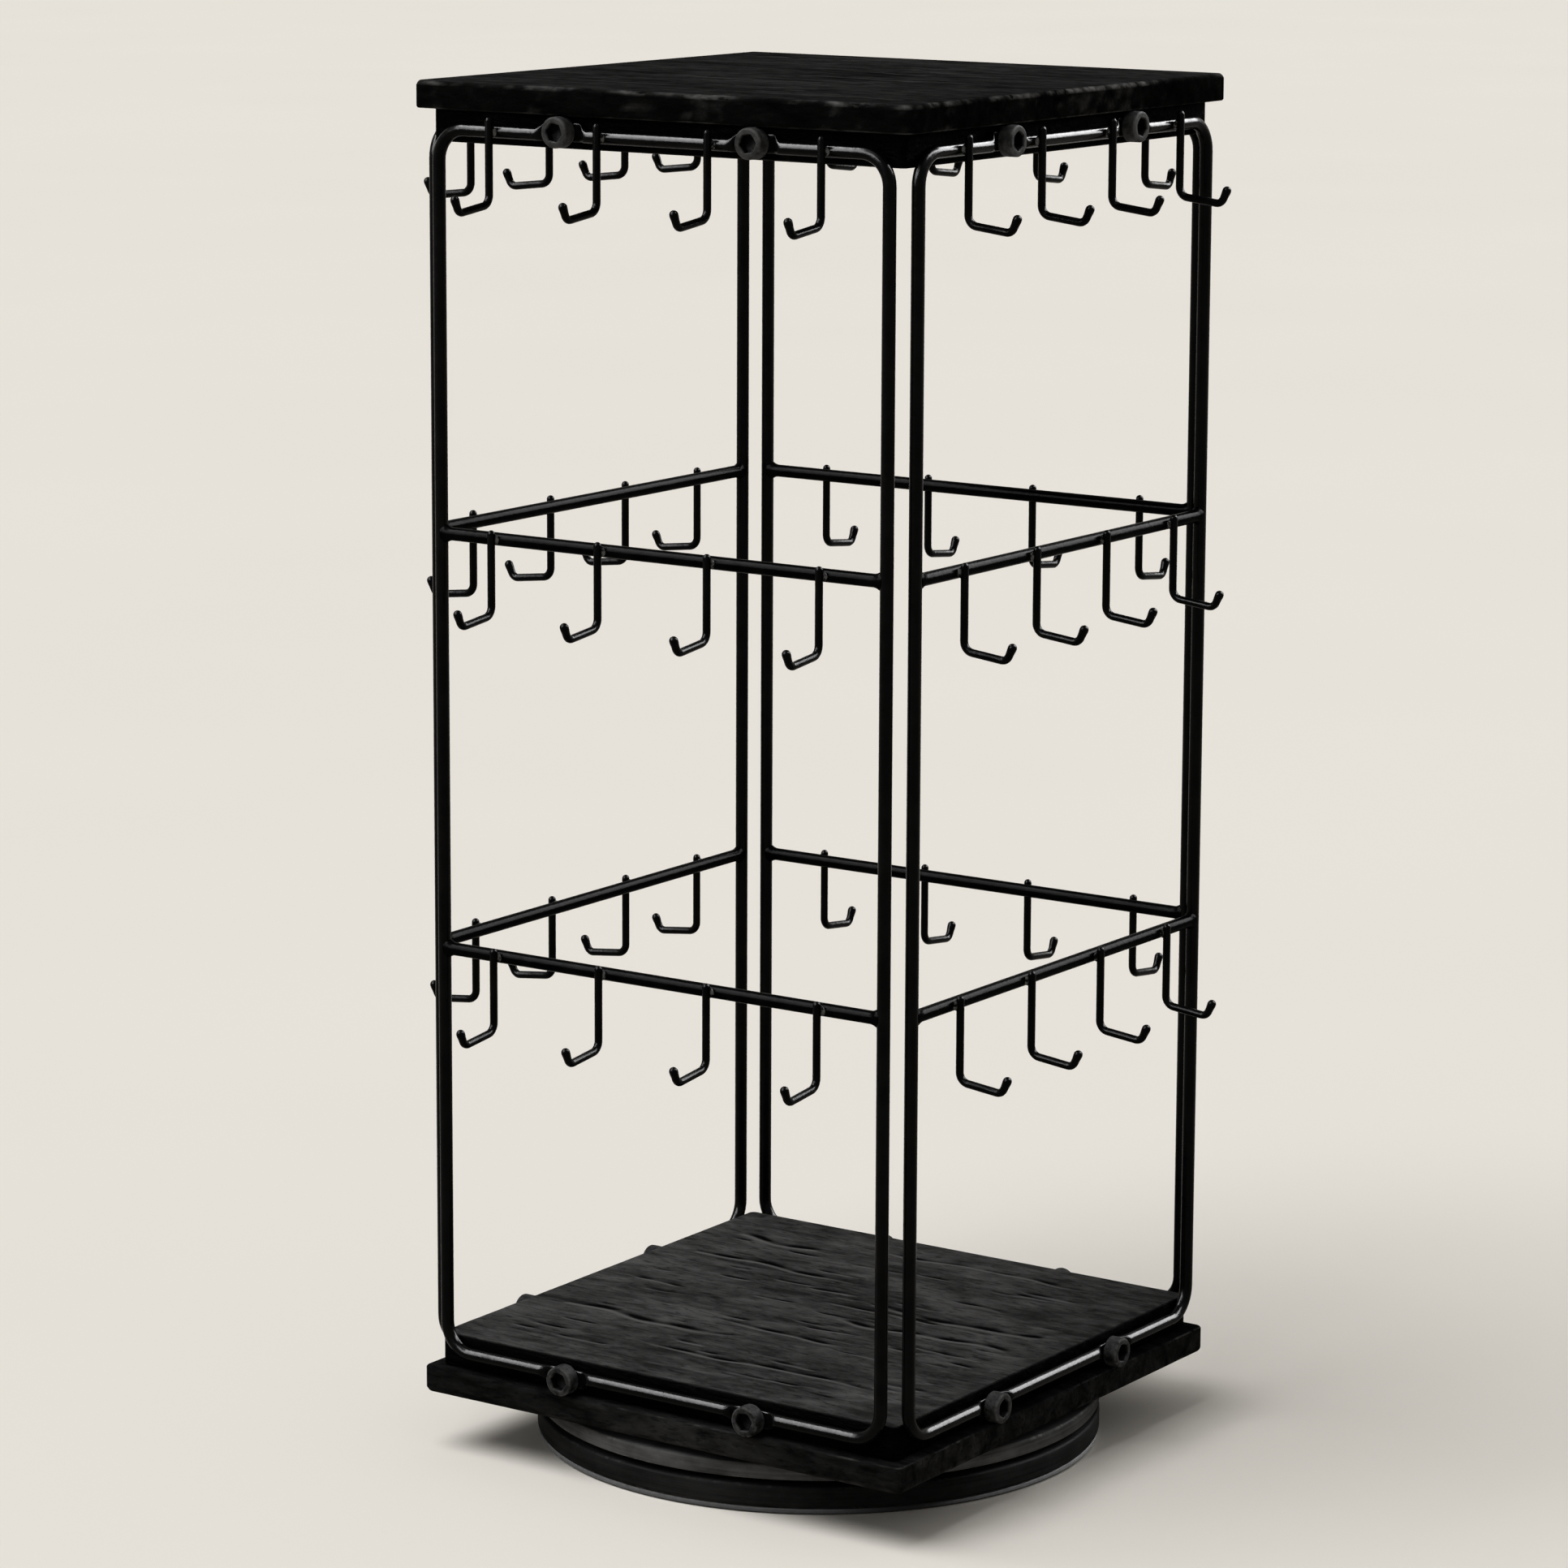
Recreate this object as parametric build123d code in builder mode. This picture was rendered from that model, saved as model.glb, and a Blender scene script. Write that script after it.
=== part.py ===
from build123d import *
import os
from math import copysign, radians, tan

# Boards and blocks: a wide square board with a smaller block, so that its rim overhangs
board_side = 160.0
board_thickness = 7.5
board_corner_radius = 2.4
board_edge_radius = 1.4
block_side = 152.4
base_block_thickness = 9.7
top_block_thickness = 9.0
block_corner_radius = 2.0
block_edge_chamfer = 0.6
open_height = 352.0

# Wire frames, one on each side, with two bars butted between the uprights
wire_diameter = 3.6
wire_sides = 8
frame_width = 149.0
frame_corner_radius = 8.5
frame_corner_chord_count = 3
frame_inset = 3.5
low_bar_rise = 115.6
mid_bar_rise = 231.4

# Hooks, bent from thinner wire and welded to the outer side of each bar
hook_wire_diameter = 2.0
hooks_per_bar = 4
hook_pitch = 35.7
hook_leg_length = 23.3
hook_rise_on_top_wire = 4.0
hook_rise_on_bar = 2.7
hook_heel_radius = 2.6
hook_heel_chord_count = 2
hook_arm_reach = 13.2
hook_arm_droop = 1.5
hook_toe_radius = 1.8
hook_toe_chord_count = 1
hook_tip_rise = 4.8
hook_tip_lean = 2.2

# Frame screws, and the lugs that are pressed flat in the wire for them
screw_pitch = 62.4
screw_head_diameter = 8.4
screw_head_thickness = 4.2
screw_socket_width = 4.6
screw_socket_depth = 2.4
screw_shank_width = 3.0
screw_grip = 14.0
screw_offset = 0.9
lug_length = 10.4
lug_height = 5.2
lug_thickness = 1.7

# Turntable, as wide as the boards: a foot disc on a rubber mat, and a turning disc on glide pads
mat_thickness = 1.6
mat_inset = 0.4
foot_disc_thickness = 6.3
turn_disc_gap = 1.6
turn_disc_thickness = 4.4
glide_pad_length = 16.0
glide_pad_width = 10.0
glide_pad_sink = 2.2
glide_pad_reach = 58.0
glide_pad_count = 4
foam_pad_side = 26.0
foam_pad_spacing = 84.0
foam_pad_thickness = 2.0

# Pivot bolt and lock nut in the middle of the turntable
pivot_diameter = 8.0
pivot_head_width = 13.0
pivot_head_thickness = 2.4
pivot_end_rise = 4.6
nut_width = 13.0
nut_thickness = 3.6
nut_pocket_diameter = 20.0
nut_pocket_depth = 3.8

# Clearances: for parts that turn, and for parts that are fixed in a hole
running_clearance = 0.08
fixed_clearance = 0.05
cut_overrun = 1.0

# Heights, from the table up
foot_disc_base = mat_thickness
foot_disc_top = foot_disc_base + foot_disc_thickness
turn_disc_base = foot_disc_top + turn_disc_gap
turn_disc_top = turn_disc_base + turn_disc_thickness
base_board_base = turn_disc_top + foam_pad_thickness
base_board_top = base_board_base + board_thickness
top_board_base = base_board_top + open_height
top_block_base = top_board_base - top_block_thickness

# Places that the frames, hooks and screws share
wire_radius = wire_diameter / 2
block_face = block_side / 2
wire_plane = block_face + wire_radius
wire_face = block_face + wire_diameter
lug_face = block_face + lug_thickness
upright_offset = (frame_width - wire_diameter) / 2
bottom_wire_height = base_board_top + frame_inset + wire_radius
top_wire_height = top_board_base - frame_inset - wire_radius
low_bar_height = bottom_wire_height + low_bar_rise
mid_bar_height = bottom_wire_height + mid_bar_rise
top_screw_height = top_wire_height + screw_offset
base_screw_height = bottom_wire_height - screw_offset
hook_radius = hook_wire_diameter / 2
pivot_radius = pivot_diameter / 2
turntable_radius = board_side / 2

side_angles = {"front": 0, "right": 90, "back": 180, "left": 270}


def side_plane(angle):
    """The upright plane through the axis that faces one side: x runs along it, y up, z outward."""
    return Plane.XZ.rotated((0, 0, angle))


def keep(piece, name):
    """Label a finished piece and write it out."""
    piece.part.label = name
    export_step(piece.part, f"parts/{name}.step")


def screw_places(height):
    """The two screws of a frame at one height, on the plane of their side."""
    return [(-screw_pitch / 2, height), (screw_pitch / 2, height)]


def hexagon(width):
    """A hexagon, by its width across the flats."""
    return RegularPolygon(width / 2, 6, major_radius=False)


def bend(before, corner, after, radius, chords):
    """The points round a bend of wire, on the arc between two straight runs."""
    run_in = (corner - before).normalized()
    run_out = (after - corner).normalized()
    turn = run_in.get_signed_angle(run_out, Axis.Z.direction)
    start = corner - run_in * radius * tan(radians(abs(turn) / 2))
    centre = start + run_in.rotate(Axis.Z, copysign(90, turn)) * radius
    return [
        centre + (start - centre).rotate(Axis.Z, turn * step / chords)
        for step in range(chords + 1)
    ]


def board(base, outer_face):
    """A square board with rounded corners, its outer face's edges rounded over."""
    with BuildPart() as piece:
        with BuildSketch(Plane.XY.offset(base)):
            RectangleRounded(board_side, board_side, board_corner_radius)
        extrude(amount=board_thickness)
        fillet(piece.faces().sort_by(Axis.Z)[outer_face].edges(), radius=board_edge_radius)
    return piece


def block(base, thickness, inner_face, screw_height):
    """The block under a board, with pilot holes in its sides for the frame screws."""
    with BuildPart() as piece:
        with BuildSketch(Plane.XY.offset(base)):
            RectangleRounded(block_side, block_side, block_corner_radius)
        extrude(amount=thickness)
        chamfer(piece.faces().sort_by(Axis.Z)[inner_face].edges(), length=block_edge_chamfer)
        for angle in side_angles.values():
            with BuildSketch(side_plane(angle).offset(block_face)):
                with Locations(*screw_places(screw_height)):
                    hexagon(screw_shank_width + 2 * fixed_clearance)
            extrude(amount=-(screw_grip + cut_overrun), mode=Mode.SUBTRACT)
    return piece


def wire_section():
    """The frame wire's section, with flats towards the block, the bars and the hooks."""
    return RegularPolygon(wire_radius, wire_sides, major_radius=False, rotation=180 / wire_sides)


def frame(angle):
    """One closed loop of wire, pressed flat and pierced where the screws hold it."""
    side = side_plane(angle)
    run_out = wire_diameter - lug_thickness + cut_overrun
    flat_half = lug_length / 2
    start = Vector(0, bottom_wire_height)
    corners = [
        Vector(upright_offset, bottom_wire_height),
        Vector(upright_offset, top_wire_height),
        Vector(-upright_offset, top_wire_height),
        Vector(-upright_offset, bottom_wire_height),
    ]
    stops = [start, *corners, start]
    route = [start]
    for before, corner, after in zip(stops, corners, stops[2:]):
        route += bend(before, corner, after, frame_corner_radius, frame_corner_chord_count)
    with BuildPart() as piece:
        with BuildLine(side.offset(wire_plane)):
            Polyline(*[tuple(point) for point in route], close=True)
        section = side.from_local_coords((0, bottom_wire_height, wire_plane))
        with BuildSketch(Plane(section, x_dir=side.z_dir, z_dir=side.x_dir)):
            wire_section()
        sweep(transition=Transition.RIGHT)
        for wire_height, screw_height in (
            (bottom_wire_height, base_screw_height),
            (top_wire_height, top_screw_height),
        ):
            plan = Plane((0, 0, wire_height), x_dir=side.x_dir, z_dir=-side.y_dir)
            with BuildSketch(plan):
                with Locations(*screw_places(lug_face)):
                    Polygon(
                        (-flat_half, 0),
                        (flat_half, 0),
                        (flat_half + run_out, run_out),
                        (-flat_half - run_out, run_out),
                        align=None,
                    )
            extrude(amount=wire_diameter, both=True, mode=Mode.SUBTRACT)
            with BuildSketch(side.offset(block_face)):
                with Locations(*screw_places(screw_height)):
                    Rectangle(lug_length, lug_height)
            extrude(amount=lug_thickness)
            with BuildSketch(side.offset(block_face)):
                with Locations(*screw_places(screw_height)):
                    hexagon(screw_shank_width + 2 * fixed_clearance)
            extrude(amount=lug_thickness, mode=Mode.SUBTRACT)
    return piece


def cross_bar(angle, height):
    """A bar butted between the inner flats of a frame's two uprights."""
    side = side_plane(angle)
    bar_half = upright_offset - wire_radius
    start = side.from_local_coords((-bar_half, height, wire_plane))
    with BuildPart() as piece:
        with BuildSketch(Plane(start, x_dir=side.z_dir, z_dir=side.x_dir)):
            wire_section()
        extrude(amount=2 * bar_half)
    return piece


def hook_row(angle, bar_height, rise):
    """The hooks along one bar: a leg, an arm that droops a little, and a tip turned up."""
    side = side_plane(angle)
    leg = wire_face + hook_radius
    top = Vector(leg, bar_height + rise)
    corner = Vector(leg, bar_height + rise - hook_leg_length)
    toe = corner + Vector(hook_arm_reach, -hook_arm_droop)
    tip = toe + Vector(hook_tip_lean, hook_tip_rise)
    route = [
        top,
        *bend(top, corner, toe, hook_heel_radius, hook_heel_chord_count),
        *bend(corner, toe, tip, hook_toe_radius, hook_toe_chord_count),
        tip,
    ]
    first = -hook_pitch * (hooks_per_bar - 1) / 2
    with BuildPart() as piece:
        for number in range(hooks_per_bar):
            foot = side.from_local_coords((first + number * hook_pitch, 0, 0))
            upright = Plane(foot, x_dir=side.z_dir, z_dir=-side.x_dir)
            end = upright.from_local_coords(top)
            with BuildLine(upright):
                Polyline(*[tuple(point) for point in route])
            with BuildSketch(Plane(end, x_dir=side.x_dir, z_dir=-side.y_dir)):
                hexagon(hook_wire_diameter)
            sweep(transition=Transition.RIGHT)
    return piece


def frame_screws(height):
    """The screws at one height on all four sides: a thick head with a hex socket, and a shank."""
    with BuildPart() as piece:
        for angle in side_angles.values():
            side = side_plane(angle)
            with BuildSketch(side.offset(block_face - screw_grip)):
                with Locations(*screw_places(height)):
                    hexagon(screw_shank_width)
            extrude(amount=screw_grip + lug_thickness)
            with BuildSketch(side.offset(lug_face)):
                with Locations(*screw_places(height)):
                    Circle(screw_head_diameter / 2)
            extrude(amount=screw_head_thickness)
            with BuildSketch(side.offset(lug_face + screw_head_thickness)):
                with Locations(*screw_places(height)):
                    hexagon(screw_socket_width)
            extrude(amount=-screw_socket_depth, mode=Mode.SUBTRACT)
    return piece


os.makedirs("parts", exist_ok=True)

# Rubber mat under the foot disc
with BuildPart() as nonslip_mat:
    with BuildSketch():
        Circle(turntable_radius - mat_inset)
    extrude(amount=mat_thickness)
keep(nonslip_mat, "nonslip_mat")

# Foot disc, counterbored below for the pivot bolt and pocketed above for the glide pads
with BuildPart() as foot_disc:
    with BuildSketch(Plane.XY.offset(foot_disc_base)):
        Circle(turntable_radius)
    extrude(amount=foot_disc_thickness)
    with BuildSketch(Plane.XY.offset(foot_disc_base)):
        hexagon(pivot_head_width + 2 * fixed_clearance)
    extrude(amount=pivot_head_thickness, mode=Mode.SUBTRACT)
    with BuildSketch(Plane.XY.offset(foot_disc_base)):
        Circle(pivot_radius + fixed_clearance)
    extrude(amount=foot_disc_thickness, mode=Mode.SUBTRACT)
    with BuildSketch(Plane.XY.offset(foot_disc_top)):
        with PolarLocations(glide_pad_reach, glide_pad_count):
            Rectangle(glide_pad_width + 2 * fixed_clearance, glide_pad_length + 2 * fixed_clearance)
    extrude(amount=-glide_pad_sink, mode=Mode.SUBTRACT)
keep(foot_disc, "foot_disc")

# Glide pads, standing in the foot disc's pockets and carrying the turning disc
with BuildPart() as glide_pads:
    with BuildSketch(Plane.XY.offset(foot_disc_top - glide_pad_sink)):
        with PolarLocations(glide_pad_reach, glide_pad_count):
            Rectangle(glide_pad_width, glide_pad_length)
    extrude(amount=glide_pad_sink + turn_disc_gap - running_clearance)
keep(glide_pads, "glide_pads")

# Pivot bolt, its head flush with the foot disc's underside
with BuildPart() as pivot_bolt:
    with BuildSketch(Plane.XY.offset(foot_disc_base)):
        hexagon(pivot_head_width)
    extrude(amount=pivot_head_thickness)
    with BuildSketch(Plane.XY.offset(foot_disc_base)):
        Circle(pivot_radius)
    extrude(amount=turn_disc_top + pivot_end_rise - foot_disc_base)
keep(pivot_bolt, "pivot_bolt")

# Lock nut on the bolt, just clear of the turning disc's top
with BuildPart() as lock_nut:
    with BuildSketch(Plane.XY.offset(turn_disc_top + running_clearance)):
        hexagon(nut_width)
        Circle(pivot_radius + fixed_clearance, mode=Mode.SUBTRACT)
    extrude(amount=nut_thickness)
keep(lock_nut, "lock_nut")

# Turning disc, bored to run on the pivot bolt
with BuildPart() as turn_disc:
    with BuildSketch(Plane.XY.offset(turn_disc_base)):
        Circle(turntable_radius)
        Circle(pivot_radius + running_clearance, mode=Mode.SUBTRACT)
    extrude(amount=turn_disc_thickness)
keep(turn_disc, "turn_disc")

# Foam pads that hold the base board on the turning disc
with BuildPart() as foam_pads:
    with BuildSketch(Plane.XY.offset(turn_disc_top)):
        with GridLocations(foam_pad_spacing, foam_pad_spacing, 2, 2):
            Rectangle(foam_pad_side, foam_pad_side)
    extrude(amount=foam_pad_thickness)
keep(foam_pads, "foam_pads")

# Base board, pocketed below for the lock nut, and its block
plain_board = board(base_board_base, 0)
with BuildPart() as base_board:
    add(plain_board.part)
    with BuildSketch(Plane.XY.offset(base_board_base)):
        Circle(nut_pocket_diameter / 2)
    extrude(amount=nut_pocket_depth, mode=Mode.SUBTRACT)
keep(base_board, "base_board")
keep(block(base_board_top, base_block_thickness, -1, base_screw_height), "base_block")

# Top board and its block, the base turned over
keep(board(top_board_base, -1), "top_board")
keep(block(top_block_base, top_block_thickness, 0, top_screw_height), "top_block")

# Frames, bars and hooks of the four sides
for side_name, side_angle in side_angles.items():
    keep(frame(side_angle), f"{side_name}_frame")
    keep(cross_bar(side_angle, mid_bar_height), f"{side_name}_mid_bar")
    keep(cross_bar(side_angle, low_bar_height), f"{side_name}_low_bar")
    keep(hook_row(side_angle, top_wire_height, hook_rise_on_top_wire), f"{side_name}_top_hooks")
    keep(hook_row(side_angle, mid_bar_height, hook_rise_on_bar), f"{side_name}_mid_hooks")
    keep(hook_row(side_angle, low_bar_height, hook_rise_on_bar), f"{side_name}_low_hooks")

# Screws that clamp the frames to the blocks
keep(frame_screws(top_screw_height), "top_frame_screws")
keep(frame_screws(base_screw_height), "base_frame_screws")
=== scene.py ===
import math
import random

import bmesh
import bpy
import numpy as np
from mathutils import Matrix, Vector, noise


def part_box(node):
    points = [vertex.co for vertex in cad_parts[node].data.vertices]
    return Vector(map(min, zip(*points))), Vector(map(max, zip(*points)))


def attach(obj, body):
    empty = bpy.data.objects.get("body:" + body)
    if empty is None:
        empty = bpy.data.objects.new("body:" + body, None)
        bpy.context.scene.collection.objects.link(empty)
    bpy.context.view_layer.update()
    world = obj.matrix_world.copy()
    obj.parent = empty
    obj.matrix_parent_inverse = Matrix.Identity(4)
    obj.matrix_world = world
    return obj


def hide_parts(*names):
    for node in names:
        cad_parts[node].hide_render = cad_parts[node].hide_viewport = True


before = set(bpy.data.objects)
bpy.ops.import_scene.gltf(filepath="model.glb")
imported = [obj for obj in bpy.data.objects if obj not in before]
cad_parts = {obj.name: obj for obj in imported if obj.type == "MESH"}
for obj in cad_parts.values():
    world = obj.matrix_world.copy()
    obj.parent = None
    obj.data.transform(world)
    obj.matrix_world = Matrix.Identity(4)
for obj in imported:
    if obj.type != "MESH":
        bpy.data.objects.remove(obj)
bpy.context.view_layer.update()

# Sizes in metres that the frame's boxes don't give
frame_corner_radius = 0.0085
hook_wire_radius = 0.00108
hook_pitch = 0.0357
hooks_per_bar = 4
hook_leg_length = 0.0233
hook_heel_radius = 0.0029
hook_toe_radius = 0.0022
hook_arm_reach = 0.0132
hook_arm_droop = 0.0015
hook_tip_rise = 0.0048
hook_tip_lean = 0.0022
screw_pitch = 0.0624
screw_offset = 0.0009
lug_length = 0.0104
lug_height = 0.0052
lug_thickness = 0.0017
lug_ramp = 0.0030
screw_head_radius = 0.0042
screw_socket_width = 0.0046
screw_socket_depth = 0.0024
screw_shank_radius = 0.0015
board_corner_radius = 0.0024
board_edge_radius = 0.0014
block_corner_radius = 0.0020
soft_edge = 0.0005
disc_edge_radius = 0.0008
pivot_bore = 0.0041
bolt_head_recess = 0.0077
bolt_head_depth = 0.0024
nut_pocket_radius = 0.0100
nut_pocket_depth = 0.0038
mat_bore = 0.0005

# Sizes in metres of detail that only the scene has
frame_lug_step = 0.00075
least_gap = 0.0002
fillet_reach = 0.0022
bar_end_sinks = (0.0011, 0.0004)
hook_drop_length = 0.0021
weld_half_width = 0.0019
weld_half_depth = 0.0008
weld_half_height = 0.0015
weld_lift = 0.0001
plate_rim_width = 0.006
grain_grid_gap = 0.0015
grain_crack_depth = 0.0006
crack_rim_fade = 0.004
rim_rounding = 0.00010
rim_nick_depth = 0.00028
side_wave_depth = 0.00006
disc_nick_depth = 0.00012
screw_rim_radius = 0.0007
screw_foot_chamfer = 0.0003
screw_shank_length = 0.006
socket_mouth_flare = 0.0007
socket_mouth_depth = 0.0003
socket_shade_depth = 0.0008
socket_cone_depth = 0.0004

# Spans that each crack's half length, half width, depth share, wander and phase are drawn from
long_crack_spans = ((0.026, 0.055), (0.0011, 0.0016), (0.8, 1.0), (0.0008, 0.0020), (0, 6.28))
dash_crack_spans = ((0.005, 0.014), (0.0007, 0.0011), (0.35, 0.9), (0, 0.0006), (0, 6.28))

# Places from the frame's boxes
frame_low, frame_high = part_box("front_frame")
wire_radius = (frame_high.y - frame_low.y) / 2
block_face = -frame_high.y
wire_plane = block_face + wire_radius
wire_face = -frame_low.y
upright_offset = frame_high.x - wire_radius
lug_face = block_face + lug_thickness
base_screw_low, base_screw_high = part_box("base_frame_screws")
top_screw_low, top_screw_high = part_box("top_frame_screws")
base_screw = (base_screw_low.z + base_screw_high.z) / 2
top_screw = (top_screw_low.z + top_screw_high.z) / 2
bottom_wire = base_screw + screw_offset
top_wire = top_screw - screw_offset
screw_front = base_screw_high.x

sides = {
    "front": (Vector((1, 0, 0)), Vector((0, -1, 0))),
    "right": (Vector((0, 1, 0)), Vector((1, 0, 0))),
    "back": (Vector((-1, 0, 0)), Vector((0, 1, 0))),
    "left": (Vector((0, -1, 0)), Vector((-1, 0, 0))),
}


def place(side, along, up, out):
    """A point by its place along a side, its height and its distance outward from the axis."""
    along_dir, out_dir = sides[side]
    return along_dir * along + out_dir * out + Vector((0, 0, up))


def smooth(value, low, high):
    """Smooth step from 0 at low to 1 at high."""
    share = min(max((value - low) / (high - low), 0), 1)
    return share * share * (3 - 2 * share)


def blend_of(start, end, share):
    """The value at a share of the way from start to end."""
    return start + (end - start) * share


def node(tree, kind, **settings):
    """A new shader node with its properties set."""
    made = tree.nodes.new(kind)
    for key, value in settings.items():
        setattr(made, key, value)
    return made


def streaks(tree, coordinates, scale, seed, detail=4.0, roughness=0.55, distortion=0.0):
    """Noise stretched by a scale per axis, as grain is along a board."""
    mapping = node(tree, "ShaderNodeMapping")
    mapping.inputs["Scale"].default_value = scale
    mapping.inputs["Location"].default_value = (seed, seed * 0.7, seed * 1.3)
    texture = node(tree, "ShaderNodeTexNoise")
    texture.inputs["Scale"].default_value = 1.0
    texture.inputs["Detail"].default_value = detail
    texture.inputs["Roughness"].default_value = roughness
    texture.inputs["Distortion"].default_value = distortion
    tree.links.new(coordinates, mapping.inputs["Vector"])
    tree.links.new(mapping.outputs["Vector"], texture.inputs["Vector"])
    return texture.outputs["Fac"]


def ramp(tree, value, stops):
    """A colour ramp through (place, colour) stops; a number stands for a grey."""
    made = node(tree, "ShaderNodeValToRGB")
    elements = made.color_ramp.elements
    while len(elements) < len(stops):
        elements.new(0.5)
    for element, (spot, colour) in zip(elements, stops):
        element.position = spot
        if isinstance(colour, (int, float)):
            colour = (colour, colour, colour)
        element.color = (*colour, 1)
    tree.links.new(value, made.inputs["Fac"])
    return made.outputs["Color"]


def mix(tree, factor, first, second):
    """A colour mix of two links, or of a link and a colour."""
    made = node(tree, "ShaderNodeMix", data_type="RGBA")
    sockets = made.inputs[0], made.inputs[6], made.inputs[7]
    for socket, value in zip(sockets, (factor, first, second)):
        if hasattr(value, "is_linked"):
            tree.links.new(value, socket)
        elif isinstance(value, (int, float)):
            socket.default_value = value
        else:
            socket.default_value = (*value, 1)
    return made.outputs[2]


def combine(tree, operation, first, second):
    """A math node on two links, or on a link and a number."""
    made = node(tree, "ShaderNodeMath", operation=operation)
    for socket, value in zip(made.inputs, (first, second)):
        if hasattr(value, "is_linked"):
            tree.links.new(value, socket)
        else:
            socket.default_value = value
    return made.outputs["Value"]


def weighted(tree, *shares):
    """The sum of links, each times its share."""
    total = None
    for value, share in shares:
        scaled = combine(tree, "MULTIPLY", value, share)
        total = scaled if total is None else combine(tree, "ADD", total, scaled)
    return total


def material(name):
    """A new material, its node tree, its shader and the object's own coordinates."""
    made = bpy.data.materials.new(name)
    made.use_nodes = True
    tree = made.node_tree
    shader = tree.nodes["Principled BSDF"]
    coordinates = node(tree, "ShaderNodeTexCoord").outputs["Object"]
    return made, tree, shader, coordinates


def attribute(tree, name):
    """A value kept on the mesh's points."""
    return node(tree, "ShaderNodeAttribute", attribute_name=name).outputs["Fac"]


def wear_mask(tree, texture, low, high):
    """The wear kept on the mesh, broken up by a texture's values from low to high."""
    broken = ramp(tree, texture, ((low, 0.0), (high, 1.0)))
    return combine(tree, "MULTIPLY", attribute(tree, "wear"), broken)


def dress(tree, shader, colour, rough, specular, height, depth):
    """Give a shader its colour, its roughness, its specular level and a bump of a depth in metres."""
    tree.links.new(colour, shader.inputs["Base Color"])
    tree.links.new(rough, shader.inputs["Roughness"])
    shader.inputs["Specular IOR Level"].default_value = specular
    made = node(tree, "ShaderNodeBump")
    made.inputs["Strength"].default_value = 1.0
    made.inputs["Distance"].default_value = depth
    tree.links.new(height, made.inputs["Height"])
    tree.links.new(made.outputs["Normal"], shader.inputs["Normal"])


def wood(name, seed, top, edge, wear_colour, specular, roughness):
    """Black-stained wood, its grain along X; sides darker, partly stain and partly painted shade; cracks
    black with painted shade; crack lips lighter with a painted highlight; rims are rubbed.
    """
    made, tree, shader, coordinates = material(name)
    bands = streaks(tree, coordinates, (16, 42, 42), seed, detail=4, distortion=0.9)
    fibres = streaks(tree, coordinates, (75, 240, 240), seed + 3, detail=6, roughness=0.66, distortion=0.9)
    mottle = streaks(tree, coordinates, (85, 250, 250), seed + 5, detail=4, roughness=0.6, distortion=0.5)
    fine = streaks(tree, coordinates, (210, 800, 800), seed + 7, detail=3)
    speckle = streaks(tree, coordinates, (130, 330, 330), seed + 11, detail=4, roughness=0.6)
    tone = weighted(tree, (bands, 0.35), (fibres, 0.30), (mottle, 0.35))
    colour = ramp(tree, tone, ((0.40, top[0]), (0.5, blend_of(*top, 0.42)), (0.61, top[1])))
    # The sides' darker tone is painted shade, partly a darker stain
    side = ramp(tree, tone, ((0.38, edge[0]), (0.52, blend_of(*edge, 0.35)), (0.66, edge[1])))
    colour = mix(tree, attribute(tree, "side"), colour, side)
    flecks = ramp(tree, fine, ((0.36, 1.0), (0.44, 0.0)))
    colour = mix(tree, flecks, colour, mix(tree, 0.55, colour, (0.002, 0.002, 0.002)))
    # Lighter colour on the raised lips beside the cracks: painted highlight
    lip_highlight = ramp(tree, attribute(tree, "lip_highlight"), ((0.15, 0.0), (0.55, 0.8)))
    colour = mix(tree, lip_highlight, colour, top[1] * 1.5)
    # Near black in the cracks: painted shade in their grooves
    crack_shade = ramp(tree, attribute(tree, "crack_shade"), ((0.15, 0.0), (0.60, 1.0)))
    colour = mix(tree, crack_shade, colour, (0.001, 0.001, 0.001))
    colour = mix(tree, wear_mask(tree, speckle, 0.36, 0.66), colour, wear_colour)
    rough = ramp(tree, tone, ((0.4, roughness), (0.6, roughness - 0.12)))
    height = weighted(tree, (fibres, 1.0), (fine, 0.25))
    dress(tree, shader, colour, rough, specular, height, 0.0010)
    return made


def painted_disc(name, seed, dark, light, wear_colour):
    """Black-painted board, with faint turning lines round it and rubbed rims."""
    made, tree, shader, coordinates = material(name)
    cloud = streaks(tree, coordinates, (48, 48, 90), seed, detail=5, roughness=0.6)
    lines = streaks(tree, coordinates, (16, 16, 900), seed + 4, detail=3)
    speckle = streaks(tree, coordinates, (420, 420, 420), seed + 8, detail=4, roughness=0.7)
    tone = weighted(tree, (cloud, 0.65), (lines, 0.35))
    colour = ramp(tree, tone, ((0.40, dark), (0.60, light)))
    colour = mix(tree, wear_mask(tree, speckle, 0.44, 0.6), colour, wear_colour)
    rough = ramp(tree, cloud, ((0.35, 0.6), (0.65, 0.75)))
    height = weighted(tree, (lines, 1.0), (speckle, 0.4))
    dress(tree, shader, colour, rough, 0.01, height, 0.00022)
    return made


def coated_wire(name, seed, roughness, specular):
    """Black dip coating over steel wire: slightly uneven, and rubbed to grey metal at the welds."""
    made, tree, shader, coordinates = material(name)
    cloud = streaks(tree, coordinates, (130, 130, 130), seed, detail=4)
    fine = streaks(tree, coordinates, (900, 900, 900), seed + 5, detail=3)
    colour = ramp(tree, cloud, ((0.38, 0.0006), (0.64, 0.0020)))
    colour = mix(tree, wear_mask(tree, fine, 0.42, 0.56), colour, (0.09, 0.089, 0.085))
    rough = ramp(tree, fine, ((0.3, roughness * 0.8), (0.7, roughness * 1.25)))
    height = weighted(tree, (cloud, 1.0), (fine, 0.15))
    dress(tree, shader, colour, rough, specular, height, 0.00016)
    return made


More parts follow.
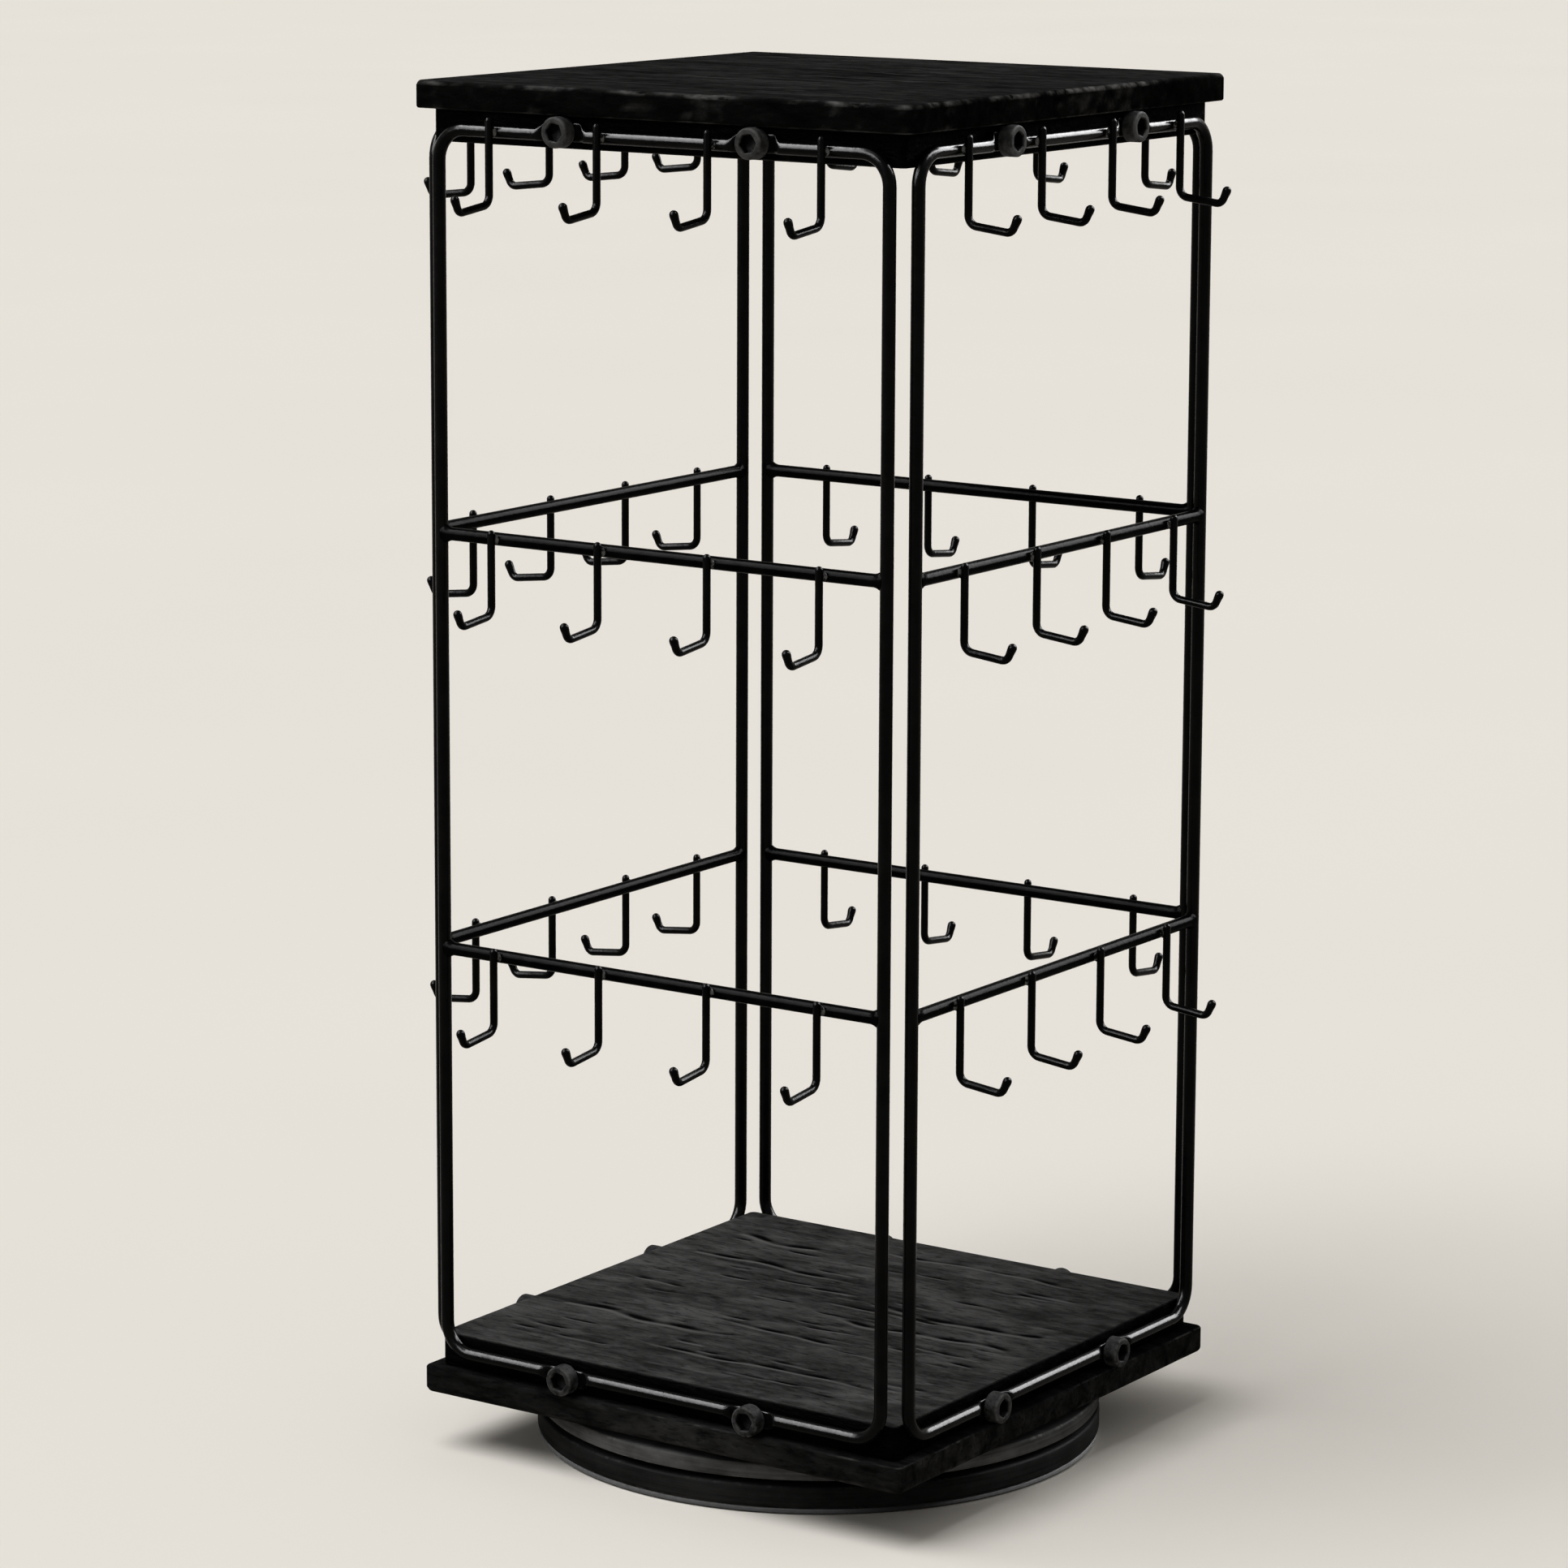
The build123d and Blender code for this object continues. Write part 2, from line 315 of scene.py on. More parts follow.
def plated(name, seed, dark, light, wear_colour, roughness, metallic):
    """Plated or blackened steel with a fine grain, cloudy patches and rubbed edges; hollows are painted black
    as shade.
    """
    made, tree, shader, coordinates = material(name)
    grain = streaks(tree, coordinates, (1500, 1500, 1500), seed, detail=3)
    cloud = streaks(tree, coordinates, (420, 420, 420), seed + 2, detail=4, roughness=0.6)
    colour = ramp(tree, cloud, ((0.38, dark), (0.64, light)))
    colour = mix(tree, wear_mask(tree, cloud, 0.40, 0.58), colour, wear_colour)
    # Black in the socket: painted shade
    colour = mix(tree, attribute(tree, "hollow_shade"), colour, (0.0015, 0.0015, 0.0015))
    shader.inputs["Metallic"].default_value = metallic
    rough = ramp(tree, grain, ((0.3, roughness * 0.85), (0.7, min(roughness * 1.2, 1.0))))
    height = weighted(tree, (cloud, 1.0), (grain, 0.3))
    dress(tree, shader, colour, rough, 0.02, height, 0.00012)
    return made


def matt(name, seed, dark, light, roughness, grain_scale, depth):
    """Rubber, foam or nylon: matt, with its own fine grain."""
    made, tree, shader, coordinates = material(name)
    grain = streaks(tree, coordinates, (grain_scale,) * 3, seed, detail=4, roughness=0.65)
    colour = ramp(tree, grain, ((0.35, dark), (0.68, light)))
    rough = ramp(tree, grain, ((0.3, roughness * 0.9), (0.7, min(roughness * 1.1, 1.0))))
    dress(tree, shader, colour, rough, 0.3, grain, depth)
    return made


def grey(value, warmth=0.02):
    """A nearly neutral colour, its blue held a little lower."""
    return Vector((value, value * (1 - warmth / 2), value * (1 - warmth)))


# The edge colours tone the sides; on the top board and the block they are darker: painted shade, partly a
# darker stain
top_board_wood = wood(
    "black_stained_top_board", 1.0, top=(grey(0.006), grey(0.030)), edge=(grey(0.0008), grey(0.008)),
    wear_colour=grey(0.15), specular=0.0, roughness=0.95,
)
base_board_wood = wood(
    "black_stained_base_board", 6.3, top=(grey(0.004), grey(0.022)), edge=(grey(0.0030), grey(0.027)),
    wear_colour=grey(0.09), specular=0.0, roughness=0.95,
)
block_wood = wood(
    "black_stained_block", 4.2, top=(grey(0.014), grey(0.080)), edge=(grey(0.0005), grey(0.002)),
    wear_colour=grey(0.06), specular=0.0008, roughness=0.40,
)
turn_disc_paint = painted_disc("black_painted_turn_disc", 8.6, grey(0.028), grey(0.080), grey(0.12))
foot_disc_paint = painted_disc("black_painted_foot_disc", 2.8, grey(0.004), grey(0.013), grey(0.025))
frame_coat = coated_wire("gloss_black_frame_wire", 2.0, roughness=0.20, specular=0.030)
bar_coat = coated_wire("black_bar_wire", 5.0, roughness=0.22, specular=0.003)
hook_coat = coated_wire("black_hook_wire", 9.0, roughness=0.22, specular=0.020)
top_screw_metal = plated(
    "black_oxide_screw", 3.0, grey(0.014), grey(0.034), grey(0.06), roughness=0.6, metallic=0.0)
# The base screws are darker than the top ones: painted shade, as they sit low by the base
base_screw_metal = plated(
    "worn_oxide_screw_painted_shade", 7.0, grey(0.003), grey(0.024), grey(0.07), roughness=0.7, metallic=0.0)
zinc = plated("zinc_plated_steel", 6.0, grey(0.42), grey(0.62), grey(0.66), roughness=0.35, metallic=0.9)
rubber = matt("black_mat_rubber", 1.5, 0.003, 0.009, roughness=0.85, grain_scale=700, depth=0.0002)
foam = matt("black_foam_tape", 2.5, 0.008, 0.025, roughness=0.9, grain_scale=1100, depth=0.0003)
nylon = matt("natural_nylon", 3.5, 0.62, 0.74, roughness=0.4, grain_scale=300, depth=0.00008)


def add_piece(mesh_data, name, body, slot, finish, *nodes, sharp=38):
    """Make a piece from built mesh data, in place of CAD nodes, riding on their body."""
    bmesh.ops.recalc_face_normals(mesh_data, faces=mesh_data.faces)
    mesh = bpy.data.meshes.new(name)
    mesh_data.to_mesh(mesh)
    mesh_data.free()
    mesh.shade_smooth()
    mesh.set_sharp_from_angle(angle=math.radians(sharp))
    mesh.materials.append(finish)
    piece = bpy.data.objects.new(name, mesh)
    bpy.context.scene.collection.objects.link(piece)
    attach(piece, body)
    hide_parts(*nodes)
    return piece


def skin(data, rings, closed=False, caps=True):
    """Faces between rings of vertices, each ring a closed loop of the same count."""
    loops = [[data.verts.new(point) for point in ring] for ring in rings]
    count = len(loops[0])
    pairs = list(zip(loops, loops[1:]))
    if closed:
        pairs.append((loops[-1], loops[0]))
    for first, second in pairs:
        for spot in range(count):
            after = (spot + 1) % count
            data.faces.new((first[spot], first[after], second[after], second[spot]))
    if caps and not closed:
        data.faces.new(loops[0])
        data.faces.new(loops[-1])
    return loops


def arc_route(points, radii, chord=math.radians(9)):
    """Places and directions along straight runs joined by arcs, on a plane."""
    stations = []
    for spot, point in enumerate(points):
        if spot in (0, len(points) - 1):
            other = points[1] if spot == 0 else points[-2]
            run = (other - point) if spot == 0 else (point - other)
            stations.append((point, run.normalized()))
            continue
        run_in = (point - points[spot - 1]).normalized()
        run_out = (points[spot + 1] - point).normalized()
        turn = math.atan2(run_in.x * run_out.y - run_in.y * run_out.x, run_in.dot(run_out))
        radius = radii[spot]
        start = point - run_in * radius * math.tan(abs(turn) / 2)
        centre = start + Vector((-run_in.y, run_in.x)) * math.copysign(radius, turn)
        steps = max(2, math.ceil(abs(turn) / chord))
        for step in range(steps + 1):
            spin = Matrix.Rotation(turn * step / steps, 2)
            stations.append((centre + spin @ (start - centre), spin @ run_in))
    return stations


def circle(centre, first, second, radius, count):
    """A ring of points about a centre, on the plane of two directions."""
    return [
        centre
        + first * (radius * math.cos(2 * math.pi * spot / count))
        + second * (radius * math.sin(2 * math.pi * spot / count))
        for spot in range(count)
    ]


def frame_rings(side, count=24):
    """Rings round one closed frame: round wire, flattened to a lug at each screw."""
    inner = upright_offset - frame_corner_radius
    low, high = bottom_wire + frame_corner_radius, top_wire - frame_corner_radius
    run_steps, lug_steps, upright_steps, bend_steps = 16, 14, 12, 10
    spots = {-inner + step * 2 * inner / run_steps for step in range(run_steps + 1)}
    for middle in (-screw_pitch / 2, screw_pitch / 2):
        spots |= {middle + step * frame_lug_step for step in range(-lug_steps, lug_steps + 1)}
    spots = sorted(spots)
    rising = [blend_of(low, high, step / upright_steps) for step in range(1, upright_steps)]
    falling = [blend_of(high, low, step / upright_steps) for step in range(1, upright_steps)]
    stations = [(x, bottom_wire, 1, 0) for x in spots]
    corners = (
        (inner, low, -90, [(upright_offset, up, 0, 1) for up in rising]),
        (inner, high, 0, [(x, top_wire, -1, 0) for x in reversed(spots)]),
        (-inner, high, 90, [(-upright_offset, up, 0, -1) for up in falling]),
        (-inner, low, 180, []),
    )
    for x, up, start, run in corners:
        for step in range(bend_steps + 1):
            angle = math.radians(start + 90 * step / bend_steps)
            stations.append((
                x + frame_corner_radius * math.cos(angle),
                up + frame_corner_radius * math.sin(angle),
                -math.sin(angle),
                math.cos(angle),
            ))
        stations += run
    kept = []
    for station in stations:
        if not kept or math.dist(station[:2], kept[-1][:2]) > least_gap:
            kept.append(station)
    if math.dist(kept[0][:2], kept[-1][:2]) < least_gap:
        kept.pop()
    nearly_level = 0.999
    round_power, lug_power = 2, 5
    rings = []
    for x, up, run_x, run_up in kept:
        flat = 0
        if abs(run_x) > nearly_level:
            away = abs(abs(x) - screw_pitch / 2)
            flat = 1 - smooth(away, lug_length / 2, lug_length / 2 + lug_ramp)
        rise = flat * ((top_screw - top_wire) if run_x < 0 else (base_screw - bottom_wire))
        half_out = blend_of(wire_radius, lug_thickness / 2, flat)
        half_up = blend_of(wire_radius, lug_height / 2, flat)
        power = 2 / blend_of(round_power, lug_power, flat)
        out = block_face + half_out
        ring = []
        for spot in range(count):
            angle = 2 * math.pi * spot / count
            across = math.copysign(abs(math.cos(angle)) ** power, math.cos(angle)) * half_out
            over = math.copysign(abs(math.sin(angle)) ** power, math.sin(angle)) * half_up
            ring.append(place(side, x - run_up * over, up + run_x * over + rise, out + across))
        rings.append(ring)
    return rings


def bar_rings(side, height, count=24):
    """Rings along a cross bar, its ends drawn out into small weld fillets on the uprights."""
    half = upright_offset - wire_radius
    fillet_steps, run_steps = 5, 14
    fillet_out, fillet_up = 0.04, 0.42
    last = half - fillet_reach
    ends = [half + sink for sink in bar_end_sinks]
    ends += [half - fillet_reach * step / fillet_steps for step in range(fillet_steps + 1)]
    run = [blend_of(-last, last, step / run_steps) for step in range(1, run_steps)]
    rings = []
    for x in [-end for end in ends] + run + ends[::-1]:
        fillet = max(0, 1 - max(0, half - abs(x)) / fillet_reach) ** 2
        ring = []
        for spot in range(count):
            angle = 2 * math.pi * spot / count
            across = wire_radius * (1 + fillet_out * fillet) * math.cos(angle)
            over = wire_radius * (1 + fillet_up * fillet) * math.sin(angle)
            ring.append(place(side, x, height + over, wire_plane + across))
        rings.append(ring)
    return rings


def hook(data, side, along, bar_height, rise, count=16):
    """One hook of round wire: leg, heel, drooping arm, and a turned-up tip that ends in a drop of coating."""
    along_dir, out_dir = sides[side]
    cap_angle, cap_steps, drop_steps = 84, 5, 6
    drop_swell = 1.13
    leg = wire_face + hook_wire_radius
    top = Vector((leg, bar_height + rise))
    heel = Vector((leg, bar_height + rise - hook_leg_length))
    toe = heel + Vector((hook_arm_reach, -hook_arm_droop))
    tip = toe + Vector((hook_tip_lean, hook_tip_rise))
    last = (tip - toe).normalized()
    drop = hook_wire_radius * drop_swell
    stations = arc_route(
        [top - Vector((0, hook_wire_radius)), heel, toe, tip - last * drop],
        [0, hook_heel_radius, hook_toe_radius, 0],
    )
    rounds = []
    for step in range(cap_steps):
        angle = math.radians(cap_angle - cap_angle * step / cap_steps)
        spot = stations[0][0] - stations[0][1] * hook_wire_radius * math.sin(angle)
        rounds.append((spot, stations[0][1], hook_wire_radius * math.cos(angle)))
    for spot, run in stations[:-1]:
        rounds.append((spot, run, hook_wire_radius))
    end, run = stations[-1]
    for step in range(drop_steps + 1):
        share = step / drop_steps
        radius = blend_of(hook_wire_radius, drop, smooth(share, 0, 0.9))
        rounds.append((end - run * hook_drop_length * (1 - share), run, radius))
    for step in range(1, cap_steps + 1):
        angle = math.radians(cap_angle * step / cap_steps)
        rounds.append((end + run * drop * math.sin(angle), run, drop * math.cos(angle)))
    rings = []
    for spot, run, radius in rounds:
        over = out_dir * -run.y + Vector((0, 0, run.x))
        centre = place(side, along, spot.y, spot.x)
        rings.append(circle(centre, along_dir, over, radius, count))
    skin(data, rings)


def weld(data, side, along, height, count=16, steps=8):
    """The small bead where a hook's leg is welded to its bar."""
    along_dir, out_dir = sides[side]
    centre = place(side, along, height, wire_face + weld_lift)
    axes = along_dir * weld_half_width, out_dir * weld_half_depth, Vector((0, 0, weld_half_height))
    turn = Matrix(axes).transposed()
    unevenness, lump_scale, bead_scale = 0.12, 900, 300
    wear = data.verts.layers.float["wear"]
    rings = []
    for step in range(1, steps):
        angle = math.pi * step / steps
        level = Vector((0, 0, math.cos(angle)))
        rings.append(circle(level, Vector((1, 0, 0)), Vector((0, 1, 0)), math.sin(angle), count))
    loops = skin(data, rings, caps=False)
    verts = [vert for loop in loops for vert in loop]
    for loop, pole in ((loops[0], 1), (loops[-1], -1)):
        peak = data.verts.new((0, 0, pole))
        verts.append(peak)
        for spot in range(count):
            data.faces.new((loop[spot - 1], loop[spot], peak))
    for vert in verts:
        point = turn @ vert.co
        swell = 1 + unevenness * noise.noise(point * lump_scale + centre * bead_scale)
        vert[wear] = smooth(abs(vert.co.x), 0.3, 0.8)
        vert.co = centre + point * swell


for side in sides:
    data = bmesh.new()
    skin(data, frame_rings(side), closed=True)
    add_piece(data, f"{side}_frame_wire", "turning_stand", "black_wire", frame_coat, f"{side}_frame")
    tiers = {"top": top_wire}
    for tier in ("mid", "low"):
        low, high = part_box(f"{side}_{tier}_bar")
        tiers[tier] = (low.z + high.z) / 2
        data = bmesh.new()
        skin(data, bar_rings(side, tiers[tier]))
        add_piece(
            data, f"{side}_{tier}_bar_wire", "turning_stand", "black_wire", bar_coat,
            f"{side}_{tier}_bar",
        )
    for tier, height in tiers.items():
        _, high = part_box(f"{side}_{tier}_hooks")
        data = bmesh.new()
        data.verts.layers.float.new("wear")
        for number in range(hooks_per_bar):
            along = (number - (hooks_per_bar - 1) / 2) * hook_pitch
            hook(data, side, along, height, high.z - height)
            weld(data, side, along, height)
        add_piece(
            data, f"{side}_{tier}_hook_wires", "turning_stand", "black_wire", hook_coat,
            f"{side}_{tier}_hooks",
        )


def outline(half, corner, inset, per_side=96, per_corner=7):
    """Points round a square with rounded corners, drawn in by an inset."""
    radius = max(corner - inset, least_gap)
    reach = half - inset - radius
    points = []
    for turn in range(4):
        spin = Matrix.Rotation(math.radians(90 * turn), 2)
        for step in range(per_corner):
            angle = math.radians(-90 + 90 * step / (per_corner - 1))
            corner_point = reach + radius * math.cos(angle), -reach + radius * math.sin(angle)
            points.append(spin @ Vector(corner_point))
        for step in range(1, per_side):
            points.append(spin @ Vector((half - inset, blend_of(-reach, reach, step / per_side))))
    return points


def cracks_of(seed, half, long_count, dash_count):
    """Seeded cracks along the grain: centre, place across, then the traits that the spans list."""
    draw = random.Random(seed)
    made = []
    for number in range(long_count):
        across = half * (2 * (number + draw.uniform(0.2, 0.8)) / long_count - 1)
        centre = draw.uniform(-0.7, 0.7) * half
        made.append((centre, across, *(draw.uniform(*span) for span in long_crack_spans)))
    for _ in range(dash_count):
        centre = draw.uniform(-1, 1) * half
        across = draw.uniform(-1, 1) * half
        made.append((centre, across, *(draw.uniform(*span) for span in dash_crack_spans)))
    return made


def crack_field(x, y, cracks, half):
    """The cracks' depth and their raised lips at points given by arrays, from 0 to 1, fading at the rim."""
    slow_wave, quick_wave, break_wave = 95, 260, 410
    lip_height, lip_offset, lip_spread = 0.7, 1.9, 0.7
    field = np.zeros_like(x)
    lips = np.zeros_like(x)
    for centre, across, reach, width, depth, wander, phase in cracks:
        line = across + wander * np.sin(x * slow_wave + phase)
        line = line + 0.4 * wander * np.sin(x * quick_wave + phase * 2)
        along = np.clip((1 - np.abs(x - centre) / reach) * 2, 0, 1)
        broken = 0.72 + 0.28 * np.sin(x * break_wave + phase * 5)
        spread = width * (0.45 + 0.55 * along)
        groove = np.exp(-((y - line) / spread) ** 2)
        ridge = np.exp(-((y - line + lip_offset * spread) / (lip_spread * spread)) ** 2)
        field = np.maximum(field, depth * along * broken * groove)
        lips = np.maximum(lips, lip_height * depth * along * ridge)
    inward = half - np.maximum(np.abs(x), np.abs(y))
    rim = np.clip(inward / crack_rim_fade - 0.5, 0, 1)
    return field * rim, lips * rim


def grain_grid(data, layers, half, height, cracks, depth, columns=84, rows=280):
    """A fine flat grid with the cracks pressed into it; gives back the vertices round its rim in order."""
    lip_rise = 0.3
    across, along = np.linspace(-half, half, columns + 1), np.linspace(-half, half, rows + 1)
    x, y = np.meshgrid(across, along, indexing="ij")
    field, lips = crack_field(x, y, cracks, half)
    grid = []
    for column in range(columns + 1):
        line = []
        for row in range(rows + 1):
            spot = column, row
            deep = float(field[spot])
            raised = float(lips[spot])
            vert = data.verts.new((x[spot], y[spot], height + depth * (lip_rise * raised - deep)))
            # Crack depth and lip height are kept for the painted shade and painted highlight in the wood's
            # colour
            vert[layers["crack_shade"]] = deep
            vert[layers["lip_highlight"]] = raised
            line.append(vert)
        grid.append(line)
    for near, far in zip(grid, grid[1:]):
        for row in range(rows):
            data.faces.new((near[row], far[row], far[row + 1], near[row + 1]))
    rim = [grid[column][0] for column in range(columns)]
    rim += [grid[columns][row] for row in range(rows)]
    rim += [grid[column][rows] for column in range(columns, 0, -1)]
    rim += [grid[0][row] for row in range(rows, 0, -1)]
    return rim


def fill_between(data, *loops):
    """Flat faces between closed loops of vertices."""
    edges = [data.edges.get((loop[spot], loop[spot - 1])) for loop in loops for spot in range(len(loop))]
    bmesh.ops.triangle_fill(data, use_beauty=True, edges=edges)


def rim_profile(low, high, low_edge, high_edge, steps=5, side_steps=4):
    """A plate's rim from its underside to its top: inset, height, edge share and side share."""
    profile = [(plate_rim_width, low, 0.0, 0.0)]
    angles = [math.radians(90 * step / steps) for step in range(steps + 1)]
    for angle in angles:
        inset, height = low_edge * (1 - math.sin(angle)), low + low_edge * (1 - math.cos(angle))
        profile.append((inset, height, math.sin(2 * angle), math.sin(angle)))
    for step in range(1, side_steps):
        height = blend_of(low + low_edge, high - high_edge, step / side_steps)
        profile.append((0.0, height, 0.0, 1.0))
    for angle in angles:
        inset, height = high_edge * (1 - math.cos(angle)), high - high_edge * (1 - math.sin(angle))
        profile.append((inset, height, math.sin(2 * angle), math.cos(angle)))
    profile.append((plate_rim_width, high, 0.0, 0.0))
    return profile


def plate(
    name, cad_node, corner, low_edge, high_edge, finish, seed, pocket=False, cracks=None, wear_level=0.0
):
    """A square wooden plate: softened and slightly uneven rim, rubbed places along it, cracks on its top."""
    low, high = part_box(cad_node)
    half = high.x
    wave_scale, nick_scale, nick_height_scale = 55, 240, 400
    lower_rim_wear, side_patch_wear = 0.3, 0.13
    pocket_count = 48
    data = bmesh.new()
    layers = {key: data.verts.layers.float.new(key) for key in ("wear", "side", "crack_shade", "lip_highlight")}
    rings = []
    values = []
    for inset, height, edge, side in rim_profile(low.z, high.z, low_edge, high_edge):
        ring = []
        for point in outline(half, corner, inset):
            spot = Vector((point.x, point.y, height))
            wave = noise.noise(Vector((spot.x * wave_scale, spot.y * wave_scale, seed)))
            nick = noise.noise(Vector((
                spot.x * nick_scale, spot.y * nick_scale, height * nick_height_scale + seed * 3)))
            inward = -Vector((point.x, point.y, 0)).normalized()
            dent = edge * (rim_rounding + rim_nick_depth * max(0, nick))
            if inset < plate_rim_width / 2:
                dent += side_wave_depth * wave
            ring.append(spot + inward * dent)
            rubbed = smooth(0.9 * wave + 0.5 * nick + wear_level, 0.0, 0.6)
            if height < (low.z + high.z) / 2:
                rubbed *= lower_rim_wear
            patch = side_patch_wear * side * smooth(wave + 0.8 * nick + wear_level, 0.45, 0.9)
            values.append((max(edge * rubbed, patch), side))
        rings.append(ring)
    loops = skin(data, rings, caps=False)
    # The side share carries the sides' darker tone into the wood's colour: painted shade, partly a darker
    # stain
    for vert, (worn, side) in zip((vert for loop in loops for vert in loop), values):
        vert[layers["wear"]] = worn
        vert[layers["side"]] = side
    if cracks:
        grid_half = half - plate_rim_width - grain_grid_gap
        rim = grain_grid(data, layers, grid_half, high.z, cracks, grain_crack_depth)
        fill_between(data, loops[-1], rim)
    else:
        data.faces.new(loops[-1])
    if pocket:
        mouth = circle(
            Vector((0, 0, low.z)), Vector((1, 0, 0)), Vector((0, 1, 0)), nut_pocket_radius, pocket_count)
        ring = [data.verts.new(point) for point in mouth]
        roof = [data.verts.new(vert.co + Vector((0, 0, nut_pocket_depth))) for vert in ring]
        for spot in range(pocket_count):
            after = (spot + 1) % pocket_count
            data.faces.new((ring[spot], ring[after], roof[after], roof[spot]))
        data.faces.new(roof)
        fill_between(data, loops[0], ring)
    else:
        data.faces.new(loops[0])
    return add_piece(data, name, "turning_stand", "black_wood", finish, cad_node, sharp=50)


block_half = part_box("base_block")[1].x
board_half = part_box("top_board")[1].x
plate(
    "base_board_wood", "base_board", board_corner_radius, board_edge_radius, soft_edge, base_board_wood,
    seed=2.3, pocket=True,
)
plate(
    "base_block_wood", "base_block", block_corner_radius, soft_edge, soft_edge, block_wood,
    seed=7.1, cracks=cracks_of(11, block_half, long_count=9, dash_count=120), wear_level=-0.3,
)
plate(
    "top_board_wood", "top_board", board_corner_radius, soft_edge, board_edge_radius, top_board_wood,
    seed=4.7, cracks=cracks_of(23, board_half, long_count=7, dash_count=90), wear_level=0.2,
)
plate(
    "top_block_wood", "top_block", block_corner_radius, soft_edge, soft_edge, block_wood,
    seed=9.4, wear_level=-0.3,
)


def softened(corners, radii, steps=5):
    """A closed profile of (radius, height) corners, each rounded by its own radius, with edge shares."""
    points = []
    count = len(corners)
    for spot, corner in enumerate(corners):
        here = Vector(corner)
        radius = radii[spot]
        if radius == 0:
            points.append((here, 0.0))
            continue
        run_in = (here - Vector(corners[spot - 1])).normalized()
        run_out = (Vector(corners[(spot + 1) % count]) - here).normalized()
        centre = here - run_in * radius + run_out * radius
        for step in range(steps + 1):
            angle = math.radians(90 * step / steps)
            point = centre - run_out * radius * math.cos(angle) + run_in * radius * math.sin(angle)
            points.append((point, math.sin(2 * angle)))
    return points


def lathe(name, profile, body, slot, finish, cad_node, seed, count=192):
    """A turned piece: a closed profile of (radius, height) points spun round the axis."""
    nick_scale, nick_height_scale = 14, 300
    data = bmesh.new()
    wear = data.verts.layers.float.new("wear")
    rings = []
    worn = []
    for spot in range(count):
        angle = 2 * math.pi * spot / count
        direction = Vector((math.cos(angle), math.sin(angle), 0))
        ring = []
        for point, edge in profile:
            nick_spot = direction * nick_scale + Vector((0, 0, point.y * nick_height_scale + seed))
            nick = noise.noise(nick_spot)
            radius = point.x - edge * disc_nick_depth * max(0, nick)
            ring.append(direction * radius + Vector((0, 0, point.y)))
            worn.append(edge * smooth(nick, -0.1, 0.5))
        rings.append(ring)
    loops = skin(data, rings, closed=True)
    for vert, value in zip((vert for loop in loops for vert in loop), worn):
        vert[wear] = value
    return add_piece(data, name, body, slot, finish, cad_node, sharp=50)


low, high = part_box("turn_disc")
lathe("turn_disc_wood", softened(
    [(pivot_bore, low.z), (high.x, low.z), (high.x, high.z), (pivot_bore, high.z)],
    [0, disc_edge_radius, disc_edge_radius, 0],
), "turning_stand", "black_disc", turn_disc_paint, "turn_disc", 1.7)
low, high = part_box("foot_disc")
lathe("foot_disc_wood", softened(
    [(bolt_head_recess, low.z), (high.x, low.z), (high.x, high.z), (pivot_bore, high.z),
     (pivot_bore, low.z + bolt_head_depth), (bolt_head_recess, low.z + bolt_head_depth)],
    [0, disc_edge_radius, disc_edge_radius, 0, 0, 0],
), "turntable_foot", "black_disc", foot_disc_paint, "foot_disc", 5.9)
low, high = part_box("nonslip_mat")
lathe("nonslip_mat_rubber", softened(
    [(mat_bore, low.z), (high.x, low.z), (high.x, high.z), (mat_bore, high.z)],
    [0, soft_edge, soft_edge, 0],
), "turntable_foot", "mat_rubber", rubber, "nonslip_mat", 3.1)


def screw(data, layers, side, along, height, turn):
    """A socket head screw: flat face with a softened rim, a hexagon socket and a shank into the block."""
    along_dir, _ = sides[side]
    up = Vector((0, 0, 1))
    count, rim_steps = 48, 5

    def round_ring(radius, out):
        return circle(place(side, along, height, out), along_dir, up, radius, count)

    def hexagon_ring(width, out, squareness=1.0):
        points = []
        for spot in range(count):
            angle = 2 * math.pi * spot / count
            local = (angle + turn) % (math.pi / 3) - math.pi / 6
            radius = blend_of(width / 2, width / 2 / math.cos(local), squareness)
            spoke = along_dir * (radius * math.cos(angle)) + up * (radius * math.sin(angle))
            points.append(place(side, along, height, out) + spoke)
        return points

    # Each ring with its wear and its share of painted shade in the socket
    rings = [
        (round_ring(screw_shank_radius, block_face - screw_shank_length), 0, 0),
        (round_ring(screw_shank_radius, lug_face), 0, 0),
        (round_ring(screw_head_radius - screw_foot_chamfer, lug_face), 0, 0),
        (round_ring(screw_head_radius, lug_face + screw_foot_chamfer), 0.2, 0),
    ]
    for step in range(rim_steps + 1):
        angle = math.radians(90 * step / rim_steps)
        radius = screw_head_radius - screw_rim_radius * (1 - math.cos(angle))
        out = screw_front - screw_rim_radius * (1 - math.sin(angle))
        rings.append((round_ring(radius, out), 0.8 * math.sin(2 * angle), 0))
    socket_floor = screw_front - screw_socket_depth
    rings += [
        (hexagon_ring(screw_socket_width + socket_mouth_flare, screw_front, 0.4), 0.3, 0),
        (hexagon_ring(screw_socket_width, screw_front - socket_mouth_depth), 0.2, 0.5),
        (hexagon_ring(screw_socket_width, screw_front - socket_shade_depth), 0, 1),
        (hexagon_ring(screw_socket_width, socket_floor), 0, 1),
        (hexagon_ring(screw_socket_width * 0.5, socket_floor - socket_cone_depth, 0.5), 0, 1),
    ]
    loops = skin(data, [ring for ring, _, _ in rings])
    for loop, (_, worn, hollow_shade) in zip(loops, rings):
        for vert in loop:
            vert[layers["wear"]] = worn
            vert[layers["hollow_shade"]] = hollow_shade


